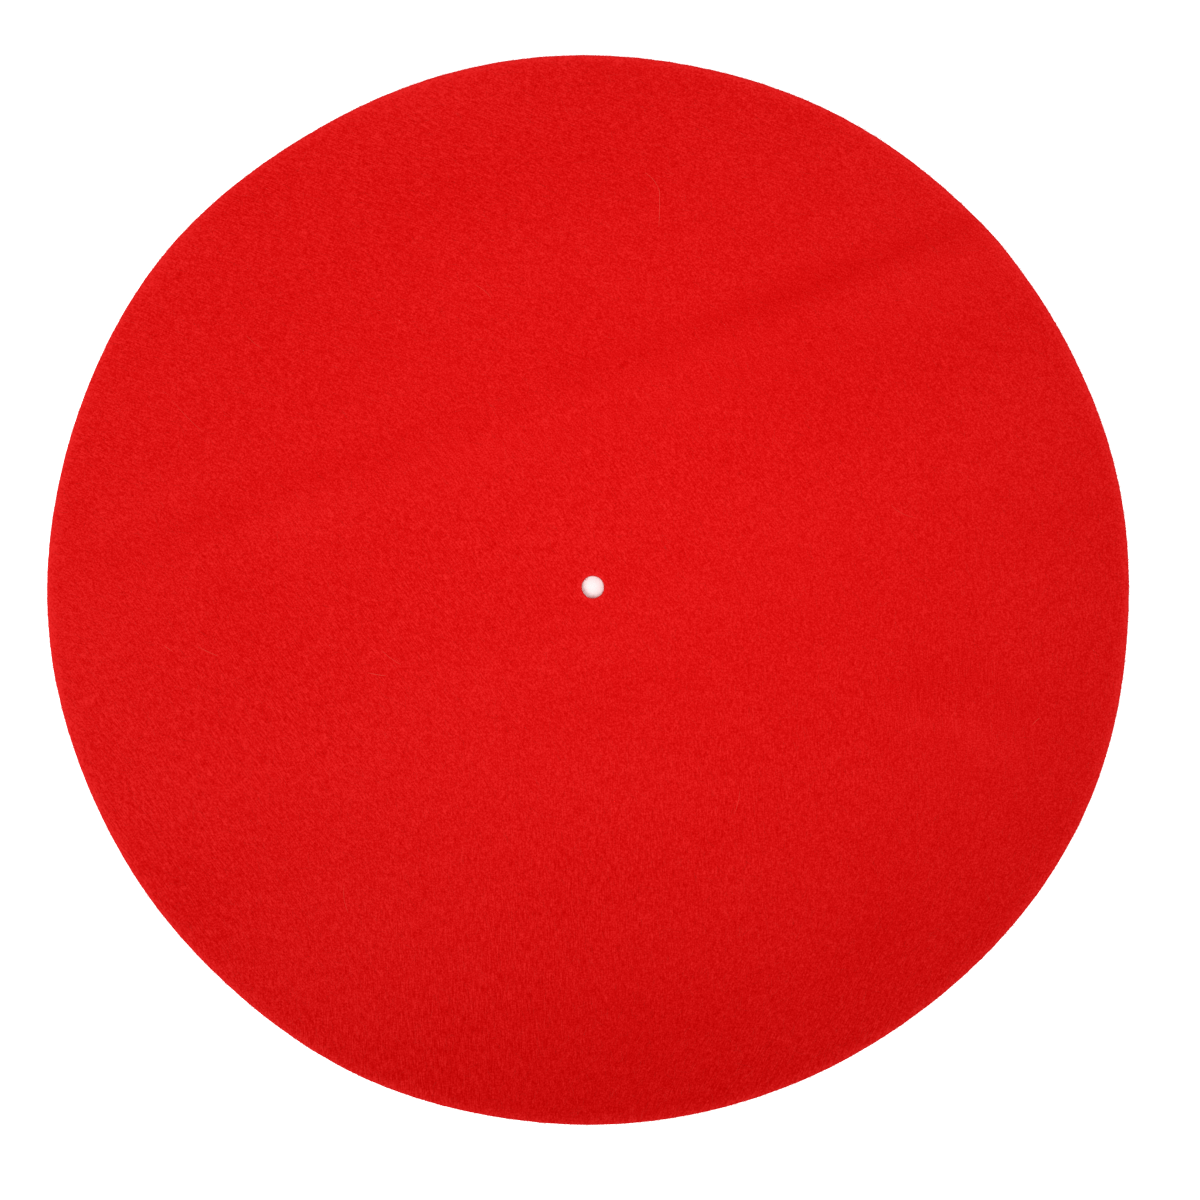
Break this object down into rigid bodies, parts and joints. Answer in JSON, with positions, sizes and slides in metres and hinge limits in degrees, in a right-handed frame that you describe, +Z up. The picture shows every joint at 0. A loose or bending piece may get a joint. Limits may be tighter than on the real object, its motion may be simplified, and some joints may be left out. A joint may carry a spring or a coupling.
{
  "type": "turntable platter mat",
  "caption": "Round pressed-felt mat with a central spindle hole, laid on a turntable platter to carry and cushion a record.",
  "frame": {"origin": "middle of the spindle hole on the underside, which is the middle of the mat's bounding box at its base", "axes": "+Z up out of the face that carries the record; +X to the right and +Y to the top of the picture, which looks straight down"},
  "size_m": [0.3066, 0.303, 0.0041],
  "materials": {
    "felt": "matte pressed wool felt with a fine fibre nap"
  },
  "bodies": {
    "root": {"felt_mat": "felt"}
  },
  "joints": []
}
